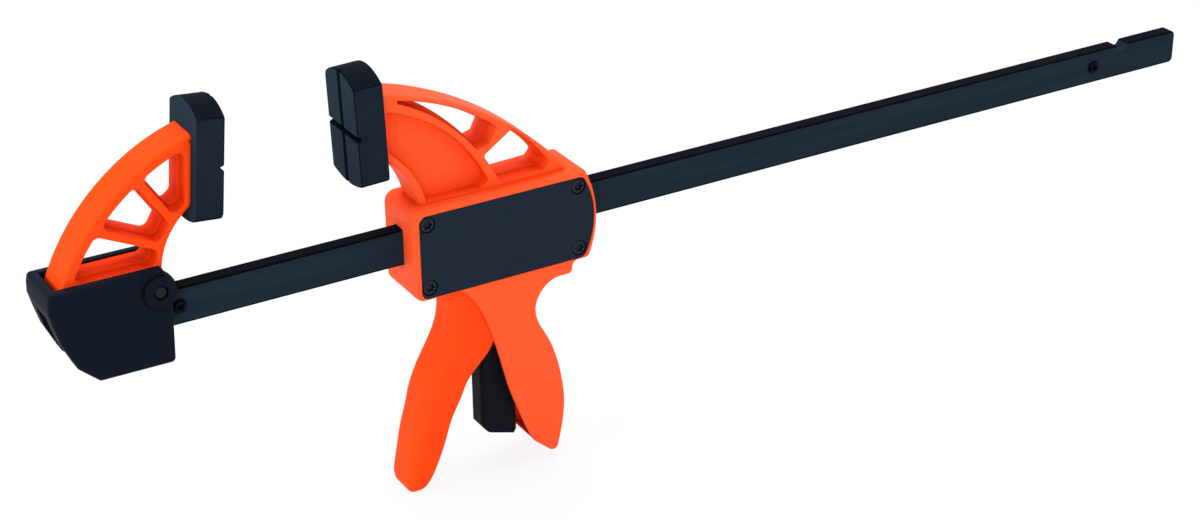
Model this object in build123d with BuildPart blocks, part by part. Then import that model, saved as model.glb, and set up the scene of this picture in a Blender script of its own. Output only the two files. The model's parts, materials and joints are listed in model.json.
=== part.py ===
from build123d import *
from math import cos, hypot, radians, sin, sqrt, tan
import os

# One-handed bar clamp with a quick release, in millimetres.
# +X runs along the bar away from the fixed jaw, +Z points up from the bar to
# the jaw tips, and the cover faces -Y. X = 0 is the middle of the whole
# clamp, Z = 0 is the tip of the trigger, and Y = 0 is the middle of the bar.
# A point named (u, w) on the moving jaw is measured from the foot of its left
# end on the bar's centre line; one named (u, w) on the fixed jaw is measured
# from its cross pin.

# ---- bar -------------------------------------------------------------------
BAR_AXIS = 105.0
BAR_LENGTH = 515.5
BAR_HEIGHT = 14.6
BAR_THICK = 6.2
BAR_END_X = -255.5
BAR_EDGE = 0.5
BAR_CORNER = 2.2
STOP_PIN_INSET = 46.0
STOP_PIN_D = 4.4
STOP_PIN_BORE = 2.4
STOP_PIN_SLOT = 0.6
STOP_PIN_PROUD = 1.3
NOTCH_INSET = 30.2
NOTCH_WIDTH = 7.0
NOTCH_FLOOR = 3.4
NOTCH_DEPTH = 2.4

# ---- fits ------------------------------------------------------------------
PIN_FIT = 0.05
BAR_FIT = 0.2
SEAT_FIT = 0.1

# ---- fixed jaw and its shoe ------------------------------------------------
PIVOT_INSET = 36.1
PIVOT_PIN_D = 4.4
EYE_RADIUS = 4.9
JAW_THICK = 16.0
JAW_EDGE = 1.4
JAW_HEEL = 35.1
JAW_SHOULDER = 5.9
FIXED_OUTER_RADIUS = 84.0
FIXED_THROAT_RADIUS = 30.6
FIXED_TIP_TOP = 12.6
FIXED_TIP_FOOT = -14.6
FIXED_RIM = 3.8
FIXED_THROAT_RIM = 2.5
FIXED_TIP_RIM = 2.0
FIXED_SILL = 7.9
SPOKE = 3.0
SPOKE_REACH = 60.0
WINDOW_ROUND = 2.6
JAW_BEAD = 1.0
JAW_BEAD_WIDTH = 5.0
TOOTH_TIP = 2.6
TOOTH_ROOT = 5.4
TOOTH_THICK = 5.6
TOOTH_REACH = 2.1
TOOTH_RISE = 8.0
SHOE_WIDTH = 24.0
SHOE_SIDE_GAP = 0.25
SHOE_EDGE = 1.4
SHOE_CORNER = 1.8
SHOE_SLOT_END = 36.6
SHOE_BAND_FOOT = -2.3
SHOE_CHANNEL_WIDTH = 11.0
SHOE_CHANNEL_END = 28.1
SHOE_CHANNEL_FOOT = -24.1
BOSS_RADIUS = 6.1
BOSS_RIM = 0.6
BOSS_PROUD = 1.3
BOSS_EDGE = 0.5
BOSS_RING = 0.5
BOSS_RING_DEPTH = 1.2

# ---- pads ------------------------------------------------------------------
PAD_WIDTH = 24.6
PAD_HALF_HEIGHT = 19.0
PAD_ARCH_TOP = 4.2
PAD_ARCH_BOTTOM = 2.4
PAD_THICK = 11.4
PAD_EDGE = 1.0
PAD_CORNER = 1.4
PAD_FOOT_CORNER = 3.2
PAD_GROOVE = 2.6
PAD_GROOVE_FLOOR = 1.2
PAD_GROOVE_DEPTH = 1.8
FIXED_PAD_X = -191.4
FIXED_PAD_RISE = 53.3
FIXED_PAD_LEAN = 5.5
MOVING_PAD_U = -20.2
MOVING_PAD_RISE = 51.7
MOVING_PAD_LEAN = 1.7
TONGUE_WIDTH = 9.0
TONGUE_HEIGHT = 18.0
TONGUE_DEPTH = 5.0

# ---- housing of the moving jaw ---------------------------------------------
HOUSING_X = -120.0
BODY_WIDTH = 25.4
BODY_TOP = 17.7
BODY_BOTTOM = -20.0
BODY_RIGHT_TOP = 73.9
BODY_RIGHT_FOOT = 75.1
BODY_BULGE = 79.0
WALL = 2.8
WEB = 2.6
CAVITY_LEFT = 11.0
CAVITY_RIGHT = 66.5
BODY_CORNER = 2.4
BODY_EDGE = 2.0
BACK_SKIN = 1.2
MOVING_OUTER_HUB = (-34.4, -62.6)
MOVING_THROAT_HUB = (-31.2, 9.9)
MOVING_TIP_TOP = 13.2
MOVING_TIP_FOOT = -12.8
POCKET_DEPTH = 4.5
SPRING_WALL_U = 40.5
SPRING_WALL = 2.0
SPRING_WALL_FOOT = -9.8
LIP_WIDTH = 2.0
LIP_DEPTH = 2.6
LIP_GAP = 0.2
HATCH_TOP = 6.0
HATCH_FOOT = -16.4

# ---- cover and screws ------------------------------------------------------
COVER_LEFT = 2.5
COVER_RIGHT = 72.6
COVER_BULGE = 77.2
COVER_TOP = 15.2
COVER_BOTTOM = -18.8
COVER_THICK = 1.4
COVER_RECESS = 1.5
COVER_GAP = 0.15
COVER_CORNER = 3.0
SCREW_LEFT = 5.9
SCREW_RIGHT = 70.5
SCREW_TOP = 11.5
SCREW_BOTTOM = -14.5
SCREW_HEAD_D = 5.2
SCREW_HEAD = 0.9
SCREW_SHANK_D = 2.8
SCREW_LENGTH = 7.0
SCREW_SINK_D = 6.4
SCREW_SOCKET = 1.3
SCREW_SOCKET_DEPTH = 0.6

# ---- trigger, release lever and their pins ---------------------------------
LINK_PIN_D = 4.0
LINK_PIN_RISE = 11.0
LINK_EYE = 3.8
TRIGGER_PIN_U = 17.5
TRIGGER_SIDE_GAP = 0.4
TRIGGER_WALL = 2.9
TRIGGER_FRONT = 3.3
TRIGGER_ROUND = 6.0
TRIGGER_TOP = -13.0
TRIGGER_HOLLOW_FOOT = -97.0
NOSE_RADIUS = 3.0
NOSE_DROP = -10.0
NOSE_GAP = 0.05
RELEASE_PIN_U = 47.5
RELEASE_WIDTH = 12.0
RELEASE_FORK = 0.4
RELEASE_FRONT = 30.0
RELEASE_FOOT = 10.0
RELEASE_ROUND = 3.2
RELEASE_ROUND_LENGTH = 58.0
RELEASE_FOOT_ROUND = 4.0
RELEASE_TOP = -8.2
RELEASE_NOSE_RADIUS = 1.5
RELEASE_NOSE_DROP = -12.0

# ---- grip plates and springs -----------------------------------------------
PLATE_THICK = 3.0
PLATE_SIDE_GAP = 1.4
PLATE_ROUND = 1.5
PLATE_GAP = 0.05
DRIVE_PLATE_TOP = 11.5
DRIVE_PLATE_FOOT = -13.0
BRAKE_PIVOT_U = 56.0
BRAKE_PIVOT_RISE = 13.6
BRAKE_PLATE_TOP = 14.8
BRAKE_PLATE_FOOT = -14.8
BRAKE_LEAN = 4.5
BRAKE_SLOT_EXTRA = 0.5
WIRE_D = 1.2
WIRE_SIDES = 6
DRIVE_TURNS = 4
BRAKE_TURNS = 3
SPRING_END_GAP = 0.15

# ---- places worked out from the sizes --------------------------------------
PIVOT_X = BAR_END_X + PIVOT_INSET
PIVOT_Z = BAR_AXIS + BAR_HEIGHT / 2 + EYE_RADIUS + BAR_FIT
BAR_TOP_FROM_PIVOT = -(EYE_RADIUS + BAR_FIT)
BAR_SLOT_THICK = BAR_THICK + 2 * BAR_FIT
BAR_SLOT_HEIGHT = BAR_HEIGHT + 2 * BAR_FIT
CAVITY_WIDTH = BODY_WIDTH - 2 * WALL
CAVITY_TOP = BODY_TOP - WEB
RECESS_FLOOR = BODY_WIDTH / 2 - COVER_RECESS
COVER_FACE = RECESS_FLOOR + COVER_THICK
PIN_SEAT = BODY_WIDTH / 2 - BACK_SKIN
TRIGGER_WIDTH = CAVITY_WIDTH - 2 * TRIGGER_SIDE_GAP
PLATE_WIDTH = CAVITY_WIDTH - 2 * PLATE_SIDE_GAP
BAR_REACH = hypot(BAR_THICK / 2 - BAR_EDGE, BAR_HEIGHT / 2 - BAR_EDGE) + BAR_EDGE
SPRING_RADIUS = (CAVITY_WIDTH / 2 + BAR_REACH) / 2
DRIVE_PLATE_U = TRIGGER_PIN_U + LINK_EYE + 2.0
DRIVE_PLATES_END = DRIVE_PLATE_U + 2 * PLATE_THICK + PLATE_GAP
NOSE_U = DRIVE_PLATE_U - NOSE_GAP - NOSE_RADIUS

os.makedirs("parts", exist_ok=True)


def on_housing(u, w):
    """Point of the XZ plane from the foot of the moving jaw's left end."""
    return (HOUSING_X + u, BAR_AXIS + w)


def on_fixed_jaw(u, w):
    """Point of the XZ plane from the fixed jaw's cross pin."""
    return (PIVOT_X + u, PIVOT_Z + w)


def arc_about(centre, start, end):
    """Arc from start to end that bows away from centre."""
    hub = Vector(*centre)
    first = Vector(*start) - hub
    last = Vector(*end) - hub
    middle = (first.normalized() + last.normalized()).normalized()
    return ThreePointArc(start, hub + middle * first.length, end)


def arc_hub(start, end, radius):
    """Centre of the arc of a radius that bows to the right of the way from start to end."""
    first = Vector(*start)
    last = Vector(*end)
    chord = last - first
    rise = sqrt(radius**2 - (chord.length / 2) ** 2)
    hub = (first + last) / 2 + Vector(-chord.Y, chord.X).normalized() * rise
    return (hub.X, hub.Y)


def outline(place, *points):
    """The same list of (u, w) points, moved to where their part sits."""
    return [place(u, w) for u, w in points]


def ring_arc(place, hub, radius, start, end):
    """Arc about a hub between two bearings given in degrees."""
    bearings = (start, (start + end) / 2, end)
    spots = [(hub[0] + radius * cos(radians(b)), hub[1] + radius * sin(radians(b))) for b in bearings]
    return ThreePointArc(*outline(place, *spots))


def save(part, name):
    """Label a finished piece and write its STEP file."""
    part.label = name
    export_step(part, f"parts/{name}.step")


def leaning_plane(x, z, lean, way):
    """Plane that looks along way * X with local y up and its top leaning that way."""
    tilt = radians(lean)
    return Plane(
        origin=(x, 0, z),
        x_dir=(0, way, 0),
        z_dir=(way * cos(tilt), 0, -sin(tilt)),
    )


FIXED_FACE = leaning_plane(FIXED_PAD_X, BAR_AXIS + FIXED_PAD_RISE, FIXED_PAD_LEAN, 1)
MOVING_FACE = leaning_plane(HOUSING_X + MOVING_PAD_U, BAR_AXIS + MOVING_PAD_RISE, MOVING_PAD_LEAN, -1)


def behind_pad(face, height):
    """Point of the XZ plane on the back of a pad, at a height along the pad."""
    point = face.from_local_coords(Vector(0, height, -PAD_THICK))
    return (point.X, point.Z)


# ---------------------------------------------------------------- bar -------
bar_start = BAR_END_X
bar_end = BAR_END_X + BAR_LENGTH
bar_top = BAR_AXIS + BAR_HEIGHT / 2
stop_pins = [
    (bar_start + STOP_PIN_INSET, BAR_AXIS),
    (bar_end - STOP_PIN_INSET, BAR_AXIS),
]
notches = [bar_start + NOTCH_INSET, bar_end - NOTCH_INSET]

with BuildPart() as bar:
    with BuildSketch(Plane.XZ):
        with Locations(((bar_start + bar_end) / 2, BAR_AXIS)):
            RectangleRounded(BAR_LENGTH, BAR_HEIGHT, BAR_CORNER)
    extrude(amount=BAR_THICK / 2, both=True)
    fillet(bar.edges().filter_by(Axis.X), BAR_EDGE)
    with BuildSketch(Plane.XZ):
        with Locations(*[(x, bar_top) for x in notches]):
            Polygon(
                (-NOTCH_WIDTH / 2, 0),
                (-NOTCH_FLOOR / 2, -NOTCH_DEPTH),
                (NOTCH_FLOOR / 2, -NOTCH_DEPTH),
                (NOTCH_WIDTH / 2, 0),
                (NOTCH_WIDTH / 2, BAR_EDGE),
                (-NOTCH_WIDTH / 2, BAR_EDGE),
                align=None,
            )
        with Locations(*stop_pins):
            Circle(STOP_PIN_D / 2)
    extrude(amount=BAR_THICK, both=True, mode=Mode.SUBTRACT)
save(bar.part, "bar")

for pin_name, pin_place in zip(("near_stop_pin", "far_stop_pin"), stop_pins):
    with BuildPart() as stop_pin:
        with BuildSketch(Plane.XZ):
            with Locations(pin_place):
                Circle(STOP_PIN_D / 2)
                Circle(STOP_PIN_BORE / 2, mode=Mode.SUBTRACT)
                with Locations((-STOP_PIN_D / 2, 0)):
                    Rectangle(STOP_PIN_D, STOP_PIN_SLOT, mode=Mode.SUBTRACT)
        extrude(amount=BAR_THICK / 2 + STOP_PIN_PROUD, both=True)
    save(stop_pin.part, pin_name)

# ---------------------------------------------------------------- pads ------
for pad_name, face in (("fixed_pad", FIXED_FACE), ("moving_pad", MOVING_FACE)):
    with BuildPart() as pad:
        with BuildSketch(face) as pad_outline:
            with BuildLine():
                side = PAD_WIDTH / 2
                ThreePointArc(
                    (-side, -PAD_HALF_HEIGHT),
                    (0, -PAD_HALF_HEIGHT - PAD_ARCH_BOTTOM),
                    (side, -PAD_HALF_HEIGHT),
                )
                Line((side, -PAD_HALF_HEIGHT), (side, PAD_HALF_HEIGHT))
                ThreePointArc(
                    (side, PAD_HALF_HEIGHT),
                    (0, PAD_HALF_HEIGHT + PAD_ARCH_TOP),
                    (-side, PAD_HALF_HEIGHT),
                )
                Line((-side, PAD_HALF_HEIGHT), (-side, -PAD_HALF_HEIGHT))
            make_face()
            fillet(pad_outline.vertices().sort_by(Axis.Z)[:2], PAD_FOOT_CORNER)
            fillet(pad_outline.vertices().sort_by(Axis.Z)[-2:], PAD_CORNER)
        extrude(amount=-PAD_THICK)
        front_rim = pad.faces().sort_by(Axis(face.origin, face.z_dir))[-1].edges()
        fillet(front_rim, PAD_EDGE)
        for across, along in ((face.y_dir, face.x_dir), (face.x_dir, -face.y_dir)):
            with BuildSketch(Plane(origin=face.origin, x_dir=across, z_dir=along)):
                Polygon(
                    (-PAD_GROOVE / 2, 0),
                    (-PAD_GROOVE_FLOOR / 2, -PAD_GROOVE_DEPTH),
                    (PAD_GROOVE_FLOOR / 2, -PAD_GROOVE_DEPTH),
                    (PAD_GROOVE / 2, 0),
                    (PAD_GROOVE / 2, PAD_GROOVE),
                    (-PAD_GROOVE / 2, PAD_GROOVE),
                    align=None,
                )
            extrude(amount=2 * PAD_HALF_HEIGHT, both=True, mode=Mode.SUBTRACT)
        with BuildSketch(face.offset(-PAD_THICK)):
            Rectangle(TONGUE_WIDTH + 2 * SEAT_FIT, TONGUE_HEIGHT + 2 * SEAT_FIT)
        extrude(amount=TONGUE_DEPTH + SEAT_FIT, mode=Mode.SUBTRACT)
    save(pad.part, pad_name)

# ------------------------------------------------------------ fixed jaw -----
tooth_x = bar_start + NOTCH_INSET - PIVOT_X
jaw_foot = -EYE_RADIUS
shoulder = on_fixed_jaw(EYE_RADIUS - 1.6, JAW_SHOULDER)
heel_top = on_fixed_jaw(-JAW_HEEL, JAW_SHOULDER)
tip_foot = behind_pad(FIXED_FACE, FIXED_TIP_FOOT)
tip_top = behind_pad(FIXED_FACE, FIXED_TIP_TOP)
outer_hub = arc_hub(tip_top, heel_top, FIXED_OUTER_RADIUS)
throat_hub = arc_hub(tip_foot, shoulder, FIXED_THROAT_RADIUS)

with BuildSketch() as fixed_windows:
    with BuildLine():
        window_tip = FIXED_FACE.offset(-PAD_THICK - FIXED_TIP_RIM)
        tip_corner = window_tip.from_local_coords(Vector(0, FIXED_TIP_TOP + 6, 0))
        tip_root = window_tip.from_local_coords(Vector(0, FIXED_TIP_FOOT - 12, 0))
        Polyline(
            (tip_corner.X, tip_corner.Z),
            (tip_root.X, tip_root.Z),
            on_fixed_jaw(30, FIXED_SILL),
            on_fixed_jaw(-JAW_HEEL - 10, FIXED_SILL),
            on_fixed_jaw(-JAW_HEEL - 10, SPOKE_REACH),
            close=True,
        )
    make_face()
    with Locations(outer_hub):
        Circle(FIXED_OUTER_RADIUS - FIXED_RIM, mode=Mode.INTERSECT)
    with Locations(throat_hub):
        Circle(FIXED_THROAT_RADIUS + FIXED_THROAT_RIM, mode=Mode.SUBTRACT)
    with Locations(on_fixed_jaw(3.0, 32.6)):
        Rectangle(40, SPOKE, rotation=122, mode=Mode.SUBTRACT)
    with Locations(on_fixed_jaw(-8.3, 20.6)):
        Rectangle(SPOKE_REACH, SPOKE, rotation=154, mode=Mode.SUBTRACT)
    fillet(fixed_windows.vertices(), WINDOW_ROUND)

with BuildPart() as fixed_jaw_arm:
    with BuildSketch(Plane.XZ):
        with BuildLine():
            Polyline(heel_top, on_fixed_jaw(-JAW_HEEL, jaw_foot), on_fixed_jaw(0, jaw_foot))
            ring_arc(on_fixed_jaw, (0, 0), EYE_RADIUS, -90, 0)
            Line(on_fixed_jaw(EYE_RADIUS, 0), shoulder)
            arc_about(throat_hub, shoulder, tip_foot)
            Line(tip_foot, tip_top)
            arc_about(outer_hub, tip_top, heel_top)
        make_face()
    extrude(amount=JAW_THICK / 2, both=True)
    long_arcs = fixed_jaw_arm.edges().filter_by(GeomType.CIRCLE).group_by(Edge.length)
    fillet(long_arcs[-1] + long_arcs[-2], JAW_EDGE)
    with BuildSketch(Plane.XZ):
        add(fixed_windows.sketch)
        offset(amount=-JAW_BEAD)
    extrude(amount=JAW_THICK, both=True, mode=Mode.SUBTRACT)
    for side in (1, -1):
        with BuildSketch(Plane.XZ.offset(side * JAW_BEAD_WIDTH / 2)):
            add(fixed_windows.sketch)
        extrude(amount=side * JAW_THICK, mode=Mode.SUBTRACT)
    with BuildSketch(Plane.XZ):
        with Locations(on_fixed_jaw(0, 0)):
            Circle(PIVOT_PIN_D / 2 + PIN_FIT)
    extrude(amount=JAW_THICK, both=True, mode=Mode.SUBTRACT)
    with BuildSketch(Plane.XZ):
        with Locations(on_fixed_jaw(tooth_x, jaw_foot + TOOTH_RISE / 2)):
            Rectangle(TOOTH_ROOT, TOOTH_RISE + 2 * PIN_FIT)
    extrude(amount=TOOTH_THICK / 2 + PIN_FIT, both=True, mode=Mode.SUBTRACT)
    with BuildSketch(FIXED_FACE.offset(-PAD_THICK)):
        Rectangle(TONGUE_WIDTH, TONGUE_HEIGHT)
    extrude(amount=TONGUE_DEPTH)
save(fixed_jaw_arm.part, "fixed_jaw_arm")

with BuildPart() as fixed_jaw_tooth:
    with BuildSketch(Plane.XZ):
        Polygon(
            *outline(
                on_fixed_jaw,
                (tooth_x - TOOTH_TIP / 2, BAR_TOP_FROM_PIVOT - TOOTH_REACH),
                (tooth_x + TOOTH_TIP / 2, BAR_TOP_FROM_PIVOT - TOOTH_REACH),
                (tooth_x + TOOTH_ROOT / 2, jaw_foot),
                (tooth_x + TOOTH_ROOT / 2, jaw_foot + TOOTH_RISE),
                (tooth_x - TOOTH_ROOT / 2, jaw_foot + TOOTH_RISE),
                (tooth_x - TOOTH_ROOT / 2, jaw_foot),
            ),
            align=None,
        )
    extrude(amount=TOOTH_THICK / 2, both=True)
save(fixed_jaw_tooth.part, "fixed_jaw_tooth")

# ---------------------------------------------------------------- shoe ------
with BuildPart() as shoe:
    with BuildSketch(Plane.XZ) as shoe_outline:
        with BuildLine():
            Polyline(
                *outline(
                    on_fixed_jaw,
                    (-39.7, 8.6),
                    (1.9, 8.3),
                    (5.2, 2.5),
                    (4.8, -4.3),
                    (3.8, -29.3),
                    (-24.6, -29.1),
                    (-32.1, -22.4),
                    (-37.1, -11.7),
                    (-39.2, -4.3),
                    (-40.6, 1.4),
                    (-40.4, 5.4),
                ),
                close=True,
            )
        make_face()
        fillet(shoe_outline.vertices(), SHOE_CORNER)
        with Locations(on_fixed_jaw(0, 0)):
            Circle(BOSS_RADIUS + BOSS_RIM)
    extrude(amount=SHOE_WIDTH / 2, both=True)
    fillet(shoe.faces().filter_by(Axis.Y).edges(), SHOE_EDGE)
    with BuildSketch(Plane.XZ):
        with Locations(on_fixed_jaw(0, 0)):
            Circle(BOSS_RADIUS)
    extrude(amount=SHOE_WIDTH / 2 + BOSS_PROUD, both=True)
    boss_faces = shoe.faces().sort_by(Axis.Y)
    fillet(boss_faces[0].edges() + boss_faces[-1].edges(), BOSS_EDGE)
    with BuildSketch(Plane.XZ):
        Polygon(
            *outline(
                on_fixed_jaw,
                (-SHOE_SLOT_END, BAR_TOP_FROM_PIVOT),
                (20, BAR_TOP_FROM_PIVOT),
                (20, 20),
                (-SHOE_SLOT_END, 20),
            ),
            align=None,
        )
    extrude(amount=JAW_THICK / 2 + SHOE_SIDE_GAP, both=True, mode=Mode.SUBTRACT)
    with BuildSketch(Plane.XZ):
        Polygon(
            *outline(
                on_fixed_jaw,
                (-60, SHOE_CHANNEL_FOOT),
                (-SHOE_CHANNEL_END, SHOE_CHANNEL_FOOT),
                (-SHOE_CHANNEL_END, SHOE_BAND_FOOT),
                (-60, SHOE_BAND_FOOT),
            ),
            align=None,
        )
    extrude(amount=SHOE_CHANNEL_WIDTH / 2, both=True, mode=Mode.SUBTRACT)
    with BuildSketch(Plane.YZ.offset(PIVOT_X)):
        with Locations((0, BAR_AXIS)):
            Rectangle(BAR_SLOT_THICK, BAR_SLOT_HEIGHT)
    extrude(amount=60, both=True, mode=Mode.SUBTRACT)
    with BuildSketch(Plane.XZ):
        with Locations(on_fixed_jaw(0, 0)):
            Circle(PIVOT_PIN_D / 2 + PIN_FIT)
    extrude(amount=SHOE_WIDTH, both=True, mode=Mode.SUBTRACT)
    for side in (1, -1):
        with BuildSketch(Plane.XZ.offset(side * (SHOE_WIDTH / 2 + BOSS_PROUD))):
            with Locations(on_fixed_jaw(0, 0)):
                Circle(PIVOT_PIN_D / 2 + BOSS_RING)
        extrude(amount=-side * BOSS_RING_DEPTH, mode=Mode.SUBTRACT)
save(shoe.part, "shoe")

with BuildPart() as fixed_jaw_pin:
    with BuildSketch(Plane.XZ):
        with Locations(on_fixed_jaw(0, 0)):
            Circle(PIVOT_PIN_D / 2)
    extrude(amount=SHOE_WIDTH / 2 + BOSS_PROUD, both=True)
    chamfer(fixed_jaw_pin.edges(), 0.4)
save(fixed_jaw_pin.part, "fixed_jaw_pin")

# -------------------------------------------- housing of the moving jaw -----
# The jaw, the housing and the handle are one moulding. The body and handle are
# drawn first as a solid, the jaw is added, and one offset cavity hollows both.
with BuildPart() as jaw_web:
    with BuildSketch(Plane.XZ):
        with BuildLine():
            tip_foot = behind_pad(MOVING_FACE, MOVING_TIP_FOOT)
            tip_top = behind_pad(MOVING_FACE, MOVING_TIP_TOP)
            throat_foot = on_housing(6.0, BODY_TOP - 2)
            back_foot = on_housing(70.5, BODY_TOP - 2)
            arc_about(on_housing(*MOVING_OUTER_HUB), tip_top, back_foot)
            Line(back_foot, throat_foot)
            arc_about(on_housing(*MOVING_THROAT_HUB), throat_foot, tip_foot)
            Line(tip_foot, tip_top)
        make_face()
    extrude(amount=JAW_THICK / 2, both=True)
    long_arcs = jaw_web.edges().filter_by(GeomType.CIRCLE)
    fillet(long_arcs, JAW_EDGE)

with BuildSketch() as crescent_window:
    with BuildLine():
        arc_about(on_housing(-20.3, -27.9), on_housing(-1.8, 61.6), on_housing(38.6, 42.4))
        Polyline(*outline(on_housing, (38.6, 42.4), (35.5, 36.0), (30.0, 34.6)))
        arc_about(on_housing(-34.1, -12.2), on_housing(30.0, 34.6), on_housing(-1.8, 60.4))
        Line(on_housing(-1.8, 60.4), on_housing(-1.8, 61.6))
    make_face()
    fillet(crescent_window.vertices().sort_by(Axis.X)[-3:], 1.2)

with BuildSketch() as corner_window:
    with BuildLine():
        arc_about(on_housing(*MOVING_OUTER_HUB), on_housing(44.6, 39.6), on_housing(60.6, 22.6))
        Polyline(
            *outline(on_housing, (60.6, 22.6), (58.4, 20.0), (39.6, 19.4), (32.6, 31.6), (44.6, 39.6))
        )
    make_face()
    fillet(corner_window.vertices(), 1.4)

with BuildSketch() as side_pocket:
    with BuildLine():
        arc_about(on_housing(-24.7, -3.2), on_housing(-6.7, 58.2), on_housing(34.4, 21.4))
        Polyline(*outline(on_housing, (34.4, 21.4), (31.5, 18.4), (8.3, 18.4)))
        arc_about(on_housing(*MOVING_THROAT_HUB), on_housing(8.3, 18.4), on_housing(-6.7, 42.1))
        Line(on_housing(-6.7, 42.1), on_housing(-6.7, 58.2))
    make_face()
    fillet(side_pocket.vertices(), 1.0)

with BuildSketch() as body_blank:
    with BuildLine():
        ThreePointArc(
            on_housing(BODY_RIGHT_TOP, BODY_TOP),
            on_housing(BODY_BULGE, -1.2),
            on_housing(BODY_RIGHT_FOOT, BODY_BOTTOM),
        )
        Polyline(
            *outline(
                on_housing,
                (BODY_RIGHT_FOOT, BODY_BOTTOM),
                (68.0, BODY_BOTTOM),
                (68.0, -25.1),
                (61.6, -25.1),
            )
        )
        grip_back = Spline(
            *outline(on_housing, (61.6, -25.1), (55.0, -28.3), (51.4, -35.5), (52.3, -41.8)),
            *outline(on_housing, (56.5, -50.2), (62.0, -68.1), (63.2, -80.0)),
            *outline(on_housing, (62.0, -90.9), (58.9, -103.2)),
        )
        Line(on_housing(58.9, -103.2), on_housing(49.4, -95.0))
        Spline(
            *outline(on_housing, (49.4, -95.0), (42.3, -78.1), (38.2, -65.6)),
            *outline(on_housing, (34.3, -49.9), (31.6, -40.8), (26.4, -28.4), (19.4, BODY_BOTTOM)),
        )
        Polyline(
            *outline(
                on_housing,
                (19.4, BODY_BOTTOM),
                (0, BODY_BOTTOM),
                (0, BODY_TOP),
                (BODY_RIGHT_TOP, BODY_TOP),
            )
        )
    make_face()

with BuildSketch() as body_outline:
    add(body_blank.sketch)
    fillet(body_outline.vertices(), BODY_CORNER)

# The inside of the handle's back runs one web thickness in from the outside.
web_stations = [0.02 + 0.96 * step / 8 for step in range(9)]
web_line = [
    grip_back @ t + Vector((grip_back % t).Y, -(grip_back % t).X) * WEB for t in web_stations
]

with BuildSketch() as cavity_outline:
    with BuildLine():
        Spline(*web_line)
        Polyline(
            web_line[-1],
            *outline(on_housing, (51.5, -95.2), (46, -98), (34, -80), (24, -60), (15, -34)),
            *outline(on_housing, (15, BODY_BOTTOM + WEB), (CAVITY_LEFT, BODY_BOTTOM + WEB)),
            *outline(on_housing, (CAVITY_LEFT, CAVITY_TOP), (CAVITY_RIGHT, CAVITY_TOP)),
            on_housing(CAVITY_RIGHT, BODY_BOTTOM + WEB),
            web_line[0],
        )
    make_face()

with BuildSketch() as cover_outline:
    with BuildLine():
        ThreePointArc(
            on_housing(COVER_RIGHT, COVER_TOP),
            on_housing(COVER_BULGE, -1.8),
            on_housing(COVER_RIGHT, COVER_BOTTOM),
        )
        Polyline(
            *outline(
                on_housing,
                (COVER_RIGHT, COVER_BOTTOM),
                (COVER_LEFT, COVER_BOTTOM),
                (COVER_LEFT, COVER_TOP),
                (COVER_RIGHT, COVER_TOP),
            )
        )
    make_face()
    fillet(cover_outline.vertices(), COVER_CORNER)

screw_places = outline(
    on_housing,
    (SCREW_LEFT, SCREW_TOP),
    (SCREW_LEFT, SCREW_BOTTOM),
    (SCREW_RIGHT, SCREW_TOP),
    (SCREW_RIGHT, SCREW_BOTTOM),
)
trigger_pin_place = on_housing(TRIGGER_PIN_U, LINK_PIN_RISE)
release_pin_place = on_housing(RELEASE_PIN_U, LINK_PIN_RISE)
BRAKE_PLANE = leaning_plane(
    HOUSING_X + BRAKE_PIVOT_U, BAR_AXIS + BRAKE_PIVOT_RISE, BRAKE_LEAN, 1
)

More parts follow.
